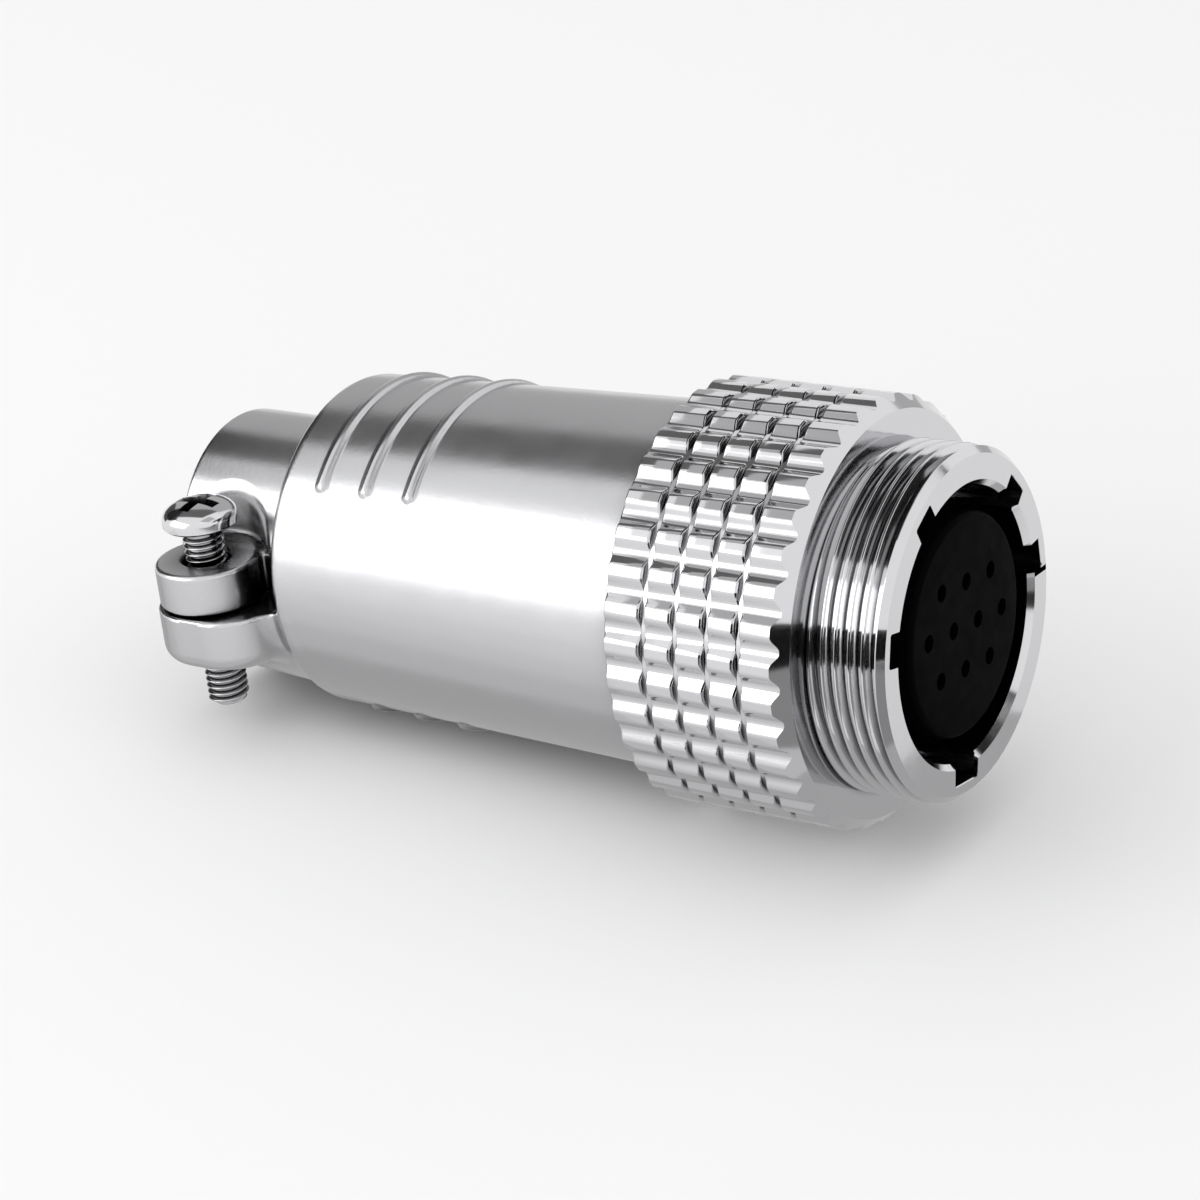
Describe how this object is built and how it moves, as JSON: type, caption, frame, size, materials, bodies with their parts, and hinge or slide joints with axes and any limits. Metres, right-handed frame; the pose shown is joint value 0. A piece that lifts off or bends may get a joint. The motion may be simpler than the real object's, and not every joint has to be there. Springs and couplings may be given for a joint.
{
  "type": "circular cable connector",
  "caption": "Round plated cable connector with an outside coupling thread, a knurled grip, a black insert with socket contacts, a ribbed back shell and a screwed cable clamp.",
  "frame": {"origin": "middle of the front rim of the threaded barrel, on the connector's axis", "axes": "+X along the axis in the mating direction, +Z towards the heads of the clamp screws, +Y completes the frame"},
  "size_m": [0.0604, 0.0296, 0.0296],
  "materials": {
    "plated_shell": "satin bright plating on die-cast metal",
    "black_insert": "smooth black moulding",
    "gold_contact": "gold-coloured plating",
    "spring_steel": "plain spring steel",
    "bright_screw": "bright plating"
  },
  "bodies": {
    "housing": {"front_shell": "plated_shell", "insert_front": "black_insert", "insert_rear": "black_insert", "retaining_ring": "spring_steel", "socket_contact_1": "gold_contact", "socket_contact_2": "gold_contact", "socket_contact_3": "gold_contact", "socket_contact_4": "gold_contact", "socket_contact_5": "gold_contact", "socket_contact_6": "gold_contact", "socket_contact_7": "gold_contact", "socket_contact_8": "gold_contact", "socket_contact_9": "gold_contact", "socket_contact_10": "gold_contact", "back_shell": "plated_shell"},
    "saddle": {"cable_saddle": "plated_shell"},
    "screw_near": {"clamp_screw_1": "bright_screw"},
    "screw_far": {"clamp_screw_2": "bright_screw"}
  },
  "joints": [
    {"name": "saddle_lift", "type": "slide", "parent": "housing", "child": "saddle", "axis": [0, 0, 1], "range_m": [0, 0.0023]},
    {"name": "screw_near_turn", "type": "hinge", "parent": "housing", "child": "screw_near", "pos_m": [-0.056, -0.0105, 0], "axis": [0, 0, 1], "continuous": true},
    {"name": "screw_far_turn", "type": "hinge", "parent": "housing", "child": "screw_far", "pos_m": [-0.056, 0.0105, 0], "axis": [0, 0, 1], "continuous": true}
  ]
}
